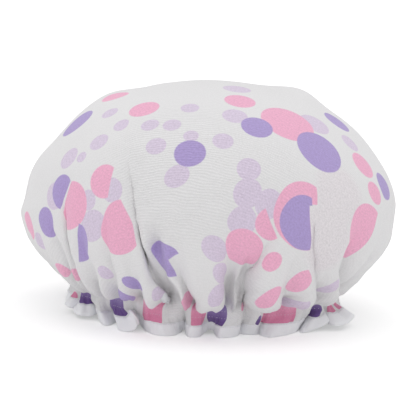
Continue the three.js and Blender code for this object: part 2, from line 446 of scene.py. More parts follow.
def side_share(bearings):
    """0 in front, 1 at the sides and 0.5 at the back, for bearings in radians."""
    away = np.abs((np.degrees(bearings) + 180) % 360 - 180)
    return ease((away - 52) / 20) - 0.5 * ease((away - 110) / 20)


def fold_ring(length, turns):
    """Bearings and radii of the ring at a cloth length, for the turns of its points on the flat round."""
    fullness = float(ease((length_of(length) - 185) / 45) * (1 - ease((length_of(length) - 250) / 14)))
    radius = float(form_at(length)[0])
    length_mm = length / MM
    rows = []
    for fold in folds:
        bearing = float(np.interp(length_mm, fold["lengths"], fold["bearings"]))
        bearing = (bearing - seam_start) % 360 + seam_start
        share = fold["strength"] * float(ease((length_mm - fold["lengths"][0]) / fold["onset"]))
        mouth = 0.5 + 0.5 * fold["opening"] * float(ease((length_mm - 190) / 45))
        lean = float(np.interp(length_mm, (165, 200), fold["leans"]))
        rows.append((math.radians(bearing), share, lean, mouth * MM))
    rows.sort()
    shares = np.array([row[1] for row in rows])
    spare = max(0.0, 2 * math.pi * (length - radius))
    tucked = float(np.interp(length_mm, (130, 195), (upper_share, spare_share)))
    taken = min(spare * tucked, fullest_fold * shares.sum())
    hidden = np.minimum(taken * shares / (shares.sum() + 1e-9), fullest_fold)
    stretch = length - hidden.sum() / (2 * math.pi)
    used, at, depth = [], [], []
    cloth = 0.0
    before = math.radians(seam_start)
    for (bearing, _, lean, mouth), width in zip(rows, hidden):
        mouth = min(mouth, width / 3) / max(radius, 5 * MM)
        cloth += (bearing - before) * stretch
        used += [cloth, cloth + width / 2, cloth + width]
        at += [bearing - mouth, bearing + lean * width / 2 / max(radius, 5 * MM), bearing + mouth]
        depth += [0, width / 2 * math.sqrt(1 - lean * lean), 0]
        cloth += width
        before = bearing
    whole = 2 * math.pi * length
    used = np.array([used[-1] - whole] + used + [used[0] + whole])
    at = np.array([at[-1] - 2 * math.pi] + at + [at[0] + 2 * math.pi])
    depth = np.array([depth[-1]] + depth + [depth[0]])
    sample = np.linspace(0, whole, 360, endpoint=False)
    twist = np.interp((sample - used[1]) % whole + used[1], used, at) - sample / length
    twist = (twist - math.radians(seam_start) + math.pi) % (2 * math.pi) - math.pi
    front = np.abs((np.degrees(sample / length) + seam_start + 180) % 360 - 180) < 80
    cloth = ((turns - twist[front].mean()) * length - used[1]) % whole + used[1]
    swell = np.zeros(len(cloth))
    panel = np.zeros(len(cloth))
    for left, right in zip(used[3:-1:3], used[4::3]):
        across = right - left
        inside = (cloth > left) & (cloth < right)
        arch = np.sin(math.pi * (cloth[inside] - left) / across) ** 0.8
        swell[inside] = arch * min(fullest_swell, swell_per_width * across)
        panel[inside] = np.sqrt(arch)
    bearings = np.interp(cloth, used, at)
    swell *= 1 - 0.7 * side_share(bearings)
    radii = radius - np.interp(cloth, used, depth) + fullness * (swell - 2 * MM)
    return bearings, radii, panel


def rim_crimp(turns):
    """Small waves of the cloth where the elastic gathers it, from -1 to 1."""
    return np.sin(54 * turns + 0.7 * np.sin(5 * turns) + 0.5 * np.sin(11 * turns + 1))


last_plain = float(plain_rings[-1])
rim_turns = np.arange(rim_columns) * 2 * math.pi / rim_columns
last_bearings, last_radii, last_panels = fold_ring(last_plain, rim_turns)
last_bearings = np.unwrap(last_bearings)
last_height = float(form_at(last_plain)[1])
evening = 55
wrapped = np.concatenate([last_bearings[-evening:] - 2 * math.pi, last_bearings, last_bearings[:evening] + 2 * math.pi])
neck_bearings = np.convolve(wrapped, np.ones(evening) / evening, "same")[evening:-evening]
hem_places, lobe_shares = hem_line(neck_bearings)
side_pleat, front_pleat = 3.5 * MM, 7.5 * MM
from_front = np.abs((np.degrees(neck_bearings) + 180) % 360 - 180)
pleat_reach = front_pleat + (side_pleat - front_pleat) * ease((from_front - 22) / 12)
crimp_reach = 0.9 * MM
crimps = pleat_reach * np.sin(math.pi * lobe_shares) ** 0.7
crimps += crimp_reach * (1 + rim_crimp(rim_turns))

mid_pleats = 3.5 * MM * (1 - np.sin(math.pi * lobe_shares)) ** 2
folded = np.zeros_like(flat)
panel_share = np.zeros(len(flat))
folded[flat_length < 1e-6] = (0, 0, crown_top)
for length in np.unique(np.round(flat_length[flat_length > 1e-6], 6)):
    ring = np.where(np.abs(flat_length - length) < 1e-5)[0]
    column = np.round(flat_turn[ring] / (2 * math.pi) * rim_columns).astype(int) % rim_columns
    if length < last_plain + 1e-5:
        bearings, radii, panel_share[ring] = fold_ring(length, flat_turn[ring])
        heights = np.full(len(ring), float(form_at(length)[1]))
    elif length < channel_top + 1e-5:
        share = (length - last_plain) / (channel_top - last_plain)
        bearings = (last_bearings + (neck_bearings - last_bearings) * share)[column]
        radii = (last_radii + (elastic_radius + crimps - last_radii) * share)[column]
        panel_share[ring] = last_panels[column] * (1 - share)
        heights = last_height + (20.5 * MM - last_height) * share
    elif length < channel_foot + 1e-5:
        share = (length - channel_top) / (channel_foot - channel_top)
        bearings = neck_bearings[column]
        radii = (elastic_radius + crimps + 0.8 * MM * math.sin(math.pi * share))[column]
        heights = 20.5 * MM - 6 * MM * share
    else:
        share = (length - channel_foot) / (cut_radius - channel_foot)
        bearings = neck_bearings[column]
        radii = (elastic_radius + crimps)[column]
        necks = np.column_stack([radii * np.sin(bearings), -radii * np.cos(bearings), np.full(len(ring), 14.5 * MM)])
        places = necks + (hem_places[column] - necks) * share
        drawn_in = 1 - mid_pleats[column] * 4 * share * (1 - share) / np.hypot(places[:, 0], places[:, 1])
        places[:, :2] *= drawn_in[:, None]
        places[:, 2] += hem_lift * share
        folded[ring] = places
        continue
    folded[ring, 0] = radii * np.sin(bearings)
    folded[ring, 1] = -radii * np.cos(bearings)
    folded[ring, 2] = heights
print("folded box (mm)", np.round(folded.min(axis=0) / MM, 1), np.round(folded.max(axis=0) / MM, 1))

# %% [markdown]
# ## Let the stuffing fill it
# Folds built from the listed lines look stiff, so the cloth solver finishes them. The folded guess is the start, and
# the flat round is given as its rest shape, so every bit of cloth wants its real size back. The stitched
# rows and the ruffle are pinned, and a light pressure stands for the stuffing. After a second of it, the
# panels between the folds are full and the spare cloth lies in creases. Pressure alone would blow the
# crown up into a ball, so the run is short, and the result is then pressed back to the measured form.

# %% Simulate the filling
cover = bpy.data.objects.new("printed_cover", cover_mesh)
bpy.context.scene.collection.objects.link(cover)
for index, place in enumerate(folded):
    cover_mesh.vertices[index].co = place
sim_frames = 25


def fill_with_pressure():
    """Points of the cover after a short cloth simulation."""
    dummy = bpy.data.objects.new("filling_cloth", cover_mesh.copy())
    bpy.context.scene.collection.objects.link(dummy)
    dummy.shape_key_add(name="Basis")
    rest = dummy.shape_key_add(name="flat_round")
    for index, place in enumerate(flat):
        rest.data[index].co = place
    rest.value = 0
    stitched = dummy.vertex_groups.new(name="stitched")
    held = np.where(flat_length > channel_top - 0.1 * MM)[0]
    stitched.add([int(index) for index in held], 1.0, "ADD")
    filled = dummy.vertex_groups.new(name="filled")
    for index in np.where(flat_length < channel_top - 0.1 * MM)[0]:
        in_tuck = 1 - min(1.0, 2 * panel_share[index])
        pressed = 1 - in_tuck * float(ease((flat_length[index] / MM - 150) / 60))
        filled.add([int(index)], pressed, "ADD")
    solver = dummy.modifiers.new("filling", "CLOTH")
    cloth = solver.settings
    cloth.quality = 6
    cloth.mass = 0.02
    cloth.tension_stiffness = 15
    cloth.compression_stiffness = 15
    cloth.shear_stiffness = 5
    cloth.bending_stiffness = 0.01
    cloth.tension_damping = 10
    cloth.compression_damping = 10
    cloth.shear_damping = 8
    cloth.bending_damping = 1
    cloth.air_damping = 2
    cloth.vertex_group_mass = "stitched"
    cloth.pin_stiffness = 1
    cloth.rest_shape_key = rest
    cloth.use_pressure = True
    cloth.uniform_pressure_force = 200
    cloth.vertex_group_pressure = "filled"
    cloth.effector_weights.gravity = 0
    solver.collision_settings.use_collision = False
    solver.collision_settings.use_self_collision = False
    solver.point_cache.frame_start = 1
    solver.point_cache.frame_end = sim_frames
    for step in range(1, sim_frames + 1):
        bpy.context.scene.frame_set(step)
    result = dummy.evaluated_get(bpy.context.evaluated_depsgraph_get()).data
    places = np.zeros(len(result.vertices) * 3)
    result.vertices.foreach_get("co", places)
    bpy.context.scene.frame_set(1)
    mesh = dummy.data
    bpy.data.objects.remove(dummy)
    bpy.data.meshes.remove(mesh)
    return places.reshape(-1, 3)


filled_cover = fill_with_pressure()
print("filled box (mm)", np.round(filled_cover.min(axis=0) / MM, 1), np.round(filled_cover.max(axis=0) / MM, 1))

# %% Press it back to the measured form
above_elastic = ease((filled_cover[:, 2] - elastic_height) / (30 * MM))
top_now = filled_cover[:, 2].max()
side_now = np.abs(filled_cover[:, 0]).max()
height_scale = (crown_top - elastic_height) / (top_now - elastic_height)
width_scale = crown_radius / side_now
shaped = filled_cover.copy()
shaped[:, 2] = np.where(
    shaped[:, 2] > elastic_height, elastic_height + (shaped[:, 2] - elastic_height) * height_scale, shaped[:, 2],
)
shaped[:, :2] *= (1 + (width_scale - 1) * above_elastic)[:, None]
print("height scale %.3f, width scale %.3f" % (height_scale, width_scale))

# pixel on the outline, push outwards in millimetres, spread in degrees of bearing and in millimetres of cloth
outline_pushes = {
    "flat above the left corner": ((64, 132), -7.5, 40, 26),
    "left corner's lower side": ((32, 178), -3.5, 30, 18),
    "upper left ridge": ((112, 92), 2.5, 30, 14),
    "flat on the crown": ((160, 86), -2.5, 40, 24),
    "upper right corner": ((300, 91), 6, 34, 16),
    "flat right of the middle": ((370, 150), -2, 34, 24),
}
# pixel in the fold, push in millimetres, spread in degrees of bearing and in millimetres of cloth
hollows = {
    "pocket left of the middle panel": ((153, 257), -14, 2.0, 15),
    "ridge beside the pocket": ((144, 250), 4, 2.0, 22),
    "puff": ((151, 297), 3, 3.0, 8),
    "pleats below the pocket": ((173, 288), -6, 2.6, 12),
    "left wall of the knot": ((235, 282), -11, 2.4, 15),
    "diagonal crease": ((249, 282), -11, 1.8, 14),
    "hole above the knot": ((235, 296), -9, 1.5, 6),
    "crease at the right": ((350, 262), -3, 3.5, 22),
    "crease at the left": ((81, 262), -2, 3.0, 20),
}
bearings = np.degrees(np.arctan2(shaped[:, 0], -shaped[:, 1]))
slopes = np.gradient(form[:, 2], form[:, 0]), np.gradient(form[:, 1], form[:, 0])
fall = np.interp(flat_length, form[:, 0], slopes[0])
spread_out = np.interp(flat_length, form[:, 0], slopes[1])
push_rng = np.random.default_rng(5)
pushes = []
for name, (pixel, push, wide, long) in outline_pushes.items():
    bearing, length = place_on_outline(pixel)
    pushes.append((bearing, length, push, wide, long))
    print(name, "at bearing %.0f, %.0f mm of cloth" % (bearing, length))
for _ in range(9):
    pushes.append((
        push_rng.uniform(115, 245), push_rng.uniform(60, 230), push_rng.choice([-1, 1]) * push_rng.uniform(2, 4),
        push_rng.uniform(14, 30), push_rng.uniform(14, 30),
    ))
outward = np.zeros(len(shaped))
for bearing, length, push, wide, long in pushes:
    turned = (bearings - bearing + 180) % 360 - 180
    outward += push * MM * np.exp(-(turned / wide) ** 2 - ((flat_length / MM - length) / long) ** 2)
outward *= ease((channel_top - flat_length) / (20 * MM))
length_mm = flat_length / MM
hang = ease((length_mm - 215) / 25) * (1 - ease((length_mm - 253) / 8))
tuck_pull = 3.0 + 1.5 * ease((35 - np.abs(bearings)) / 10)
shorter = 0.8 * np.exp(-((bearings + 26) / 8) ** 2)
outward += hang * (4.5 * panel_share * (1 - shorter) - tuck_pull * (1 - panel_share) ** 2) * MM
for name, (pixel, push, wide, long) in hollows.items():
    bearing, length = place_on_form(pixel)
    turned = (bearings - bearing + 180) % 360 - 180
    outward += push * MM * np.exp(-(turned / wide) ** 2 - ((length_mm - length) / long) ** 2)
    print(name, "at bearing %.0f, %.0f mm of cloth" % (bearing, length))
shaped[:, 0] += outward * -fall * np.sin(np.radians(bearings))
shaped[:, 1] -= outward * -fall * np.cos(np.radians(bearings))
shaped[:, 2] += outward * spread_out
lowest = ease((length_mm - 232) / 14) * (1 - ease((length_mm - 253) / 8))
shaped[:, 2] -= lowest * 1.5 * MM * panel_share * (1 - side_share(np.radians(bearings))) * (1 - shorter)

# x and y of the photographed outline from the widest line down to the ruffle
side_outlines = {
    -1: [(21, 207), (21, 214), (25, 228), (30, 242), (42, 256), (55, 270), (65, 279), (77, 287)],
    1: [(394, 207), (394, 214), (393, 228), (390, 242), (382, 256), (367, 270), (358, 281), (345, 294)],
}
middles = np.arange(18, 76, 4) * MM
for side, outline in 3 * list(side_outlines.items()):
    wanted = []
    for pixel in outline:
        start, way = sight_line(pixel)
        place = start - way * (start.y / way.y)
        wanted.append((place.z, abs(place.x)))
    wanted = np.array(sorted(wanted))
    # Each point is moved along its line of sight to the upright plane through the cap's middle.
    along = -start.y / (shaped[:, 1] - start.y)
    seen_x = start.x + (shaped[:, 0] - start.x) * along
    seen_z = start.z + (shaped[:, 2] - start.z) * along
    on_side = (seen_x * side > 0) & (flat_length < 258 * MM)
    now = np.array([np.abs(seen_x[on_side & (np.abs(seen_z - z) < 1.2 * MM)]).max() for z in middles])
    scale = np.interp(middles, wanted[:, 0], wanted[:, 1]) / now
    weight = np.exp(-((np.abs((bearings - side * 90 + 180) % 360 - 180)) / 42) ** 2)
    weight *= ease((78 * MM - seen_z) / (12 * MM)) * ease((264 * MM - flat_length) / (8 * MM))
    shaped[:, :2] *= (1 + (np.interp(seen_z, middles, scale) - 1) * weight)[:, None]
    print("side", side, "scales from %.3f to %.3f" % (scale.min(), scale.max()))

cover_mesh.vertices.foreach_set("co", shaped.ravel())
flat_attribute = cover_mesh.attributes.new("flat", "FLOAT_VECTOR", "POINT")
flat_attribute.data.foreach_set("vector", flat.ravel())
flat_map = cover_mesh.uv_layers.new(name="flat_map")
corner_points = np.zeros(len(cover_mesh.loops), dtype=int)
cover_mesh.loops.foreach_get("vertex_index", corner_points)
flat_map.data.foreach_set("uv", flat[corner_points, :2].ravel())
cover_mesh.update()

# %% [markdown]
# ## The print
# The dots are printed on the flat cloth before it is cut, so a fold cuts a dot, and its other half comes
# out on the far side of the tuck or not at all. Each dot of the photograph is given as the pixel of its
# middle and its diameter on flat cloth. The line of sight through the pixel meets the folded cover, and
# the flat map there tells where on the round the dot is printed. Places that the photograph doesn't show
# get dots from a seeded generator. A shader can't hold a hundred dots, so each face remembers the nearest
# dot of each colour, and the shader only asks whether a point is nearer to it than its radius.

# %% Dots that the photograph shows
# x and y of the middle in the photograph, and diameter in millimetres
pink_dots = [
    (115, 96, 20), (144, 109, 22), (240, 101, 22), (288, 123, 40), 
    (272, 262, 15), (270, 299, 19), (363, 165, 22),
    (375, 193, 18), (29, 226, 22), (61, 270, 11), (75, 275, 10), (72, 297, 16),
    (186, 308, 20), (198, 314, 30), (331, 309, 18), (338, 306, 14), (243, 305, 10),
]
purple_dots = [
    (77, 123, 28), (190, 153, 23), (257, 127, 23), (320, 151, 37), (46, 222, 22),
    (134, 284, 16), (123, 298, 20), (384, 186, 22), (337, 122, 22), (84, 297, 34),
    (116, 309, 42), (217, 314, 40), (259, 321, 11), (309, 318, 26),
]
lavender_dots = [
    (110, 113, 13), (190, 108, 13), (122, 125, 13), (150, 125, 13), (172, 125, 13), (191, 136, 11), (99, 142, 15),
    (156, 146, 15), (69, 158, 18), (81.5, 157, 9), (177, 176, 18), (112, 190, 18), (54, 196, 20), (88, 200, 15),
    (92, 226, 24), (41, 241, 14), (104, 273, 12), (235, 116, 18), (315, 124, 23), (223, 141, 15), (350, 143, 16),
    (249, 169, 18), (248, 193, 22), (242, 221, 22), (269, 204, 22), (215, 249, 20), (223, 273, 18), (218, 296, 18),
    (195, 308, 12), (332, 289, 16), (162, 293, 13), (293, 307, 20), (237, 89, 20),
]

# Ink, x, y, diameter, and wedges. A wedge is one or two lines through two pixels each, and hides the cloth
# that lies to the right of all of its lines, as seen when walking from a line's first pixel to its second.
cut_dots = [
    ("pink_dot", 279, 317, 58, [[((312, 313), (250, 313))]]),
    ("pink_dot", 246, 250, 32, [[((250, 272), (266, 250))]]),
    ("pink_dot", 104, 181, 25, [[((108, 197), (115, 165))]]),
    ("pink_dot", 71, 206, 36, [[((72, 180), (63.5, 212))]]),
    ("pink_dot", 121, 228, 40, [[((139, 252), (120.5, 199))]]),
    ("pink_dot", 304, 216, 50, [[((300, 205), (320, 205)), ((309, 255), (309, 190))], [((317, 215), (316, 185))]]),
    ("pink_dot", 269, 224, 24, [[((275, 232), (264, 204))]]),
    ("pink_dot", 365, 233, 43, [[((349, 256), (378.5, 208))]]),
    ("purple_dot", 77, 243, 31, [[((78.5, 226), (79, 262))]]),
    ("purple_dot", 63, 192, 26, [[((60.5, 209), (73.6, 176))]]),
    ("purple_dot", 304, 223, 40, [[((300, 206), (316, 206)), ((309, 255), (309, 190))], [((312.5, 215), (311, 190))]]),
    ("purple_dot", 166, 262, 30, [[((166, 261), (175, 255)), ((177, 276), (168, 259))]]),
    ("pink_dot", 303, 282, 20, [[((313, 290), (308, 268))]]),
    ("pink_dot", 152, 310, 44, [[((172, 303), (130, 297))]]),
    ("ghost_dot", 340, 195, 46, []),
    ("ghost_dot", 325, 240, 52, []),
]

cover_shape = bmesh.new()
cover_shape.from_mesh(cover_mesh)
bmesh.ops.triangulate(cover_shape, faces=cover_shape.faces)
cover_shape.faces.ensure_lookup_table()
cover_tree = BVHTree.FromBMesh(cover_shape)
flat_layer = cover_shape.verts.layers.float_vector["flat"]


def flat_place(pixel):
    """Place on the flat round of what the photograph shows at a pixel."""
    start, way = sight_line(pixel)
    hit, _, face_index, _ = cover_tree.ray_cast(start, way)
    if hit is None:
        return None
    corners = cover_shape.faces[face_index].verts
    places = [corner.co for corner in corners]
    shares = barycentric(hit, *places)
    spot = Vector((0, 0, 0))
    for corner, share in zip(corners, shares):
        spot += corner[flat_layer] * share
    return spot.x, spot.y


def barycentric(point, first, second, third):
    """Shares of a triangle's corners at a point in it."""
    side_a = second - first
    side_b = third - first
    side_p = point - first
    aa, ab, bb = side_a.dot(side_a), side_a.dot(side_b), side_b.dot(side_b)
    ap, bp = side_a.dot(side_p), side_b.dot(side_p)
    whole = aa * bb - ab * ab
    share_b = (bb * ap - ab * bp) / whole
    share_c = (aa * bp - ab * ap) / whole
    return 1 - share_b - share_c, share_b, share_c


seen_spots = []
print_dots = {"pink_dot": [], "purple_dot": [], "lavender_dot": []}
for colour, seen in (("pink_dot", pink_dots), ("purple_dot", purple_dots), ("lavender_dot", lavender_dots)):
    for x, y, width in seen:
        spot = flat_place((x, y))
        if spot is None:
            print("no cloth at", x, y)
            continue
        print_dots[colour].append((spot[0], spot[1], width / 2 * MM))
        seen_spots.append((spot[0], spot[1], width / 2 * MM))

cut_places = []
for ink, x, y, width, wedges in cut_dots:
    spot = flat_place((x, y))
    flat_wedges = []
    for lines in wedges:
        sides = []
        for start, end in [(flat_place(start), flat_place(end)) for start, end in lines]:
            along = Vector((end[0] - start[0], end[1] - start[1])).normalized()
            sides.append((along.y, -along.x, along.y * start[0] - along.x * start[1]))
        flat_wedges.append(sides)
    cut_places.append((ink, spot, width / 2 * MM, flat_wedges))
    seen_spots.append((spot[0], spot[1], width / 2 * MM))

# x and y of the middle of the ripples that the photograph shows, and their reach in millimetres
ripple_places = [(flat_place(pixel), reach * MM) for pixel, reach in (((182, 165), 66), ((270, 163), 30))]

# %% Dots elsewhere
dot_rng = np.random.default_rng(23)
seen_field = np.array(seen_spots)
face_middles = np.array([face.calc_center_median() for face in cover_shape.faces])
face_ways = np.array([face.normal for face in cover_shape.faces])
to_camera = np.array(camera.location) - face_middles
facing = (face_ways * to_camera).sum(axis=1) > 0.03
face_flats = np.array([
    np.mean([list(corner[flat_layer]) for corner in face.verts], axis=0)[:2] for face in cover_shape.faces
])
front_flats = face_flats[facing]
placed = list(seen_spots)
# ink, dots wanted, smallest and largest diameter and least gap to other dots in millimetres
for ink, wanted, smallest, largest, least_gap in (
    ("pink_dot", 24, 20, 40, 4), ("purple_dot", 24, 18, 34, 4), ("lavender_dot", 64, 12, 24, -5),
):
    added = 0
    for _ in range(1500):
        turn = dot_rng.uniform(0, 2 * math.pi)
        reach = cut_radius * math.sqrt(dot_rng.uniform(0, 1))
        spot = np.array([reach * math.sin(turn), -reach * math.cos(turn)])
        radius = dot_rng.uniform(smallest, largest) / 2 * MM
        if np.hypot(*(front_flats - spot).T).min() < radius + 1 * MM:
            continue
        if min(math.hypot(spot[0] - x, spot[1] - y) - r - radius for x, y, r in placed) < least_gap * MM:
            continue
        placed.append((spot[0], spot[1], radius))
        print_dots[ink].append((spot[0], spot[1], radius))
        added += 1
        if added == wanted:
            break
cover_shape.free()
print("dots:", {colour: len(dots) for colour, dots in print_dots.items()})

# %% Let each face remember its nearest dots
# Dots of a colour that touch go to separate screens, because a face remembers one dot of each screen.
screens = []
for colour, dots in print_dots.items():
    layers = []
    for dot in dots:
        for layer in layers:
            if all(math.hypot(dot[0] - x, dot[1] - y) > dot[2] + r + 9 * MM for x, y, r in layer):
                layer.append(dot)
                break
        else:
            layers.append([dot])
    screens += [(colour, "%s_%d" % (colour, number), layer) for number, layer in enumerate(layers)]
print("screens:", [(screen, len(layer)) for _, screen, layer in screens])
face_spots = np.array([
    flat[list(face.vertices), :2].mean(axis=0) for face in cover_mesh.polygons
])
for _, screen, dots in screens:
    field = np.array(dots)
    gap = np.hypot(face_spots[:, None, 0] - field[None, :, 0], face_spots[:, None, 1] - field[None, :, 1])
    nearest = np.argmin(gap - field[None, :, 2], axis=1)
    attribute = cover_mesh.attributes.new(screen, "FLOAT_VECTOR", "FACE")
    attribute.data.foreach_set("vector", field[nearest].ravel())

# %% [markdown]
# ## Cloth and film as sheets
# One subdivision rounds the small faces, and is made real, because the lining, the tape and the stitches
# are measured off the finished cloth. A solidify modifier then gives the cloth its thickness.

# %% Finish the cover
cloth_thickness = 0.35 * MM
rounding = cover.modifiers.new("rounding", "SUBSURF")
rounding.levels = 1
rounding.render_levels = 1
rounded_mesh = bpy.data.meshes.new_from_object(cover.evaluated_get(bpy.context.evaluated_depsgraph_get()))
cover.modifiers.clear()
cover.data = rounded_mesh
cover_mesh = rounded_mesh
cover_mesh.shade_smooth()
print("cover attributes:", [attribute.name for attribute in cover_mesh.attributes])
count = len(cover_mesh.vertices)
points = np.zeros(count * 3)
cover_mesh.vertices.foreach_get("co", points)
points = points.reshape(-1, 3)
normals = np.zeros(count * 3)
cover_mesh.vertices.foreach_get("normal", normals)
normals = normals.reshape(-1, 3)
lengths = np.zeros(count * 3)
cover_mesh.attributes["flat"].data.foreach_get("vector", lengths)
lengths = np.hypot(*lengths.reshape(-1, 3)[:, :2].T)
turns_of_points = np.zeros(count * 3)
cover_mesh.attributes["flat"].data.foreach_get("vector", turns_of_points)
turns_of_points = turns_of_points.reshape(-1, 3)
turns_of_points = np.arctan2(turns_of_points[:, 1], turns_of_points[:, 0])
gather_reach = 1.1 * MM
near_neck = ease((lengths / MM - 218) / 34) * (1 - ease((lengths / MM - 256) / 5))
gathers = np.sin(97 * turns_of_points + 3 * np.sin(5 * turns_of_points) + 2 * np.sin(13 * turns_of_points))
gathers *= 0.55 + 0.45 * np.sin(17 * turns_of_points + 2 * np.sin(3 * turns_of_points))
crumple_reach = 1.1 * MM
crumple_across, crumple_along = 13 * MM, 30 * MM
crumples = np.array([
    noise.noise(Vector((turn * 264 * MM / crumple_across, length / crumple_along, 3.7)))
    + 0.5 * noise.noise(Vector((turn * 264 * MM / crumple_across * 2.2, length / crumple_along * 2, 8.1)))
    for turn, length in zip(turns_of_points, lengths)
])
crumples = 0.5 - 1.6 * np.abs(crumples)
in_ruffle = ease((lengths / MM - 262) / 9) * (1 - ease((lengths / MM - 280) / 10) * 0.7)
in_swags = 0.85 * ease((lengths / MM - 180) / 60) * (1 - ease((lengths / MM - 252) / 8))
points += normals * (gather_reach * near_neck * gathers + crumple_reach * crumples * (in_ruffle + in_swags))[:, None]
points[:, 2] = np.maximum(points[:, 2], 0.9 * MM)
cover_mesh.vertices.foreach_set("co", points.ravel())
cover_mesh.update()
cover_mesh.vertices.foreach_get("normal", normals_now := np.zeros(count * 3))
normals = normals_now.reshape(-1, 3)
print("outward normals:", float((normals * (points - [0, 0, 60 * MM])).sum(axis=1).mean()) > 0)

wall = cover.modifiers.new("cloth_wall", "SOLIDIFY")
wall.thickness = cloth_thickness
wall.offset = 0

# %% [markdown]
# The lining is cut to the same round and gathered with the cover, so it is a copy of the cover, moved in
# along its normals. It keeps more room at the elastic, which lies between the two.

# %% Line it
film_gap = 0.9 * MM
channel_gap = 2.6 * MM
liner_mesh = cover_mesh.copy()
liner_mesh.name = "film_liner"
near_channel = ease(1 - np.abs(lengths - channel_middle) / (7 * MM))
liner_points = points - normals * (film_gap + (channel_gap - film_gap) * near_channel)[:, None]
liner_points[:, 2] = np.maximum(liner_points[:, 2], 0.6 * MM)
in_channel = ease(1.6 - np.abs(lengths - channel_middle) / (6 * MM))
inside_reach = np.hypot(liner_points[:, 0], liner_points[:, 1])
cover_reach = np.hypot(points[:, 0], points[:, 1])
wanted_reach = 2 * (elastic_radius - 1.2 * MM) - cover_reach
liner_points[:, :2] *= (1 + in_channel * (wanted_reach / inside_reach - 1))[:, None]
liner_mesh.vertices.foreach_set("co", liner_points.ravel())
for _, screen, _ in screens:
    liner_mesh.attributes.remove(liner_mesh.attributes[screen])
liner_mesh.update()
liner = bpy.data.objects.new("film_liner", liner_mesh)
bpy.context.scene.collection.objects.link(liner)
film = liner.modifiers.new("film_wall", "SOLIDIFY")
film.thickness = 0.25 * MM
film.offset = 0
print("liner points", len(liner_mesh.vertices))

# %% [markdown]
# ## The elastic
# A flat woven elastic runs round in the channel. It is a ring of a narrow rectangle, made by extruding a
# circle upwards and giving the band its thickness, with a bevelled edge.

# %% Elastic band
elastic_width = 5 * MM
elastic_thickness = 0.9 * MM
band = bmesh.new()
bmesh.ops.create_circle(band, segments=240, radius=elastic_radius - 1.2 * MM)
bmesh.ops.translate(band, vec=(0, 0, elastic_height - elastic_width / 2), verts=band.verts)
top = bmesh.ops.extrude_edge_only(band, edges=band.edges)["geom"]
bmesh.ops.translate(band, vec=(0, 0, elastic_width), verts=[p for p in top if isinstance(p, bmesh.types.BMVert)])
bmesh.ops.recalc_face_normals(band, faces=band.faces)
bmesh.ops.solidify(band, geom=band.faces[:] + band.edges[:] + band.verts[:], thickness=elastic_thickness)
bmesh.ops.recalc_face_normals(band, faces=band.faces)
edges = [edge for edge in band.edges if edge.calc_face_angle(0) > 1]
bmesh.ops.bevel(band, geom=edges, affect="EDGES", offset=0.2 * MM, segments=2, profile=0.5, material=-1)
elastic_mesh = bpy.data.meshes.new("flat_elastic")
band.to_mesh(elastic_mesh)
band.free()
elastic_mesh.shade_smooth()
elastic = bpy.data.objects.new("flat_elastic", elastic_mesh)
bpy.context.scene.collection.objects.link(elastic)
print("elastic faces", len(elastic_mesh.polygons))

# %% [markdown]
# ## The hem's tape
# A plain white tape is folded round the raw edge of both rounds and stitched. It is a copy of the cover's
# outermost faces, grown a little past the edge, thick enough to wrap cloth and film.

# %% Tape the hem
tape_start = 274.9 * MM
tape = bmesh.new()
tape.from_mesh(cover_mesh)
flat_layer = tape.verts.layers.float_vector["flat"]
away = [face for face in tape.faces if min(vert[flat_layer].xy.length for vert in face.verts) < tape_start]
bmesh.ops.delete(tape, geom=away, context="FACES")
hem_edges = [
    edge for edge in tape.edges
    if edge.is_boundary and min(vert[flat_layer].xy.length for vert in edge.verts) > cut_radius - 0.5 * MM
]
lip = bmesh.ops.extrude_edge_only(tape, edges=hem_edges)["geom"]
bmesh.ops.translate(
    tape, vec=(0, 0, -0.75 * MM), verts=[part for part in lip if isinstance(part, bmesh.types.BMVert)],
)
tape_mesh = bpy.data.meshes.new("hem_tape")
tape.to_mesh(tape_mesh)
tape.free()
tape_mesh.shade_smooth()
hem_tape = bpy.data.objects.new("hem_tape", tape_mesh)
bpy.context.scene.collection.objects.link(hem_tape)
tape_wall = hem_tape.modifiers.new("tape_wall", "SOLIDIFY")
tape_wall.thickness = 1.8 * MM
tape_wall.offset = -0.55
print("tape faces", len(tape_mesh.polygons))

# %% [markdown]
# ## Stitches
# Two rows of stitches hold the elastic's channel, and one row holds the tape. A stitch is a tiny grain of
# thread, so each is an icosphere of twenty faces, stretched along its row. Its place and its direction
# are taken from the cloth's own rings of points, which run exactly where a machine would sew.

# %% Sew the rows
thread_radius = 0.13 * MM
covered_share = 0.38


def ring_of(radius):
    """Places and normals of the cloth's points on one ring, in order round it."""
    ring = np.where(np.abs(lengths - radius) < 0.2 * MM)[0]
    ring = ring[np.argsort(turns_of_points[ring])]
    return points[ring], normals[ring]


def sew_row(thread, places, ways, step, lift):
    """Add one stitch for every so many points of a row."""
    for here in range(0, len(places) - step // 2, step):
        along = Vector(places[(here + step) % len(places)] - places[here])
        half = along.length * covered_share
        along.normalize()
        up = Vector(ways[here])
        up = (up - along * up.dot(along)).normalized()
        side = up.cross(along)
        middle = Vector(places[here]) + up * lift
        turn = Matrix((along * half, side * thread_radius, up * thread_radius)).transposed()
        bmesh.ops.create_icosphere(thread, subdivisions=1, radius=1, matrix=Matrix.Translation(middle) @ turn.to_4x4())


thread = bmesh.new()
for row in (channel_top, channel_foot):
    places, ways = ring_of(row)
    print("row of", len(places), "points")
    sew_row(thread, places, ways, 4, 0.11 * MM)
upper_places, upper_ways = ring_of(275 * MM)
lower_places, lower_ways = ring_of(278.25 * MM)
tape_lift = 0.42 * MM
sew_row(thread, 0.5 * (upper_places + lower_places), 0.5 * (upper_ways + lower_ways), 2, tape_lift)
thread_mesh = bpy.data.meshes.new("stitches")
thread.to_mesh(thread_mesh)
thread.free()
thread_mesh.shade_smooth()
stitches = bpy.data.objects.new("stitches", thread_mesh)
bpy.context.scene.collection.objects.link(stitches)
print("stitch faces", len(thread_mesh.polygons))

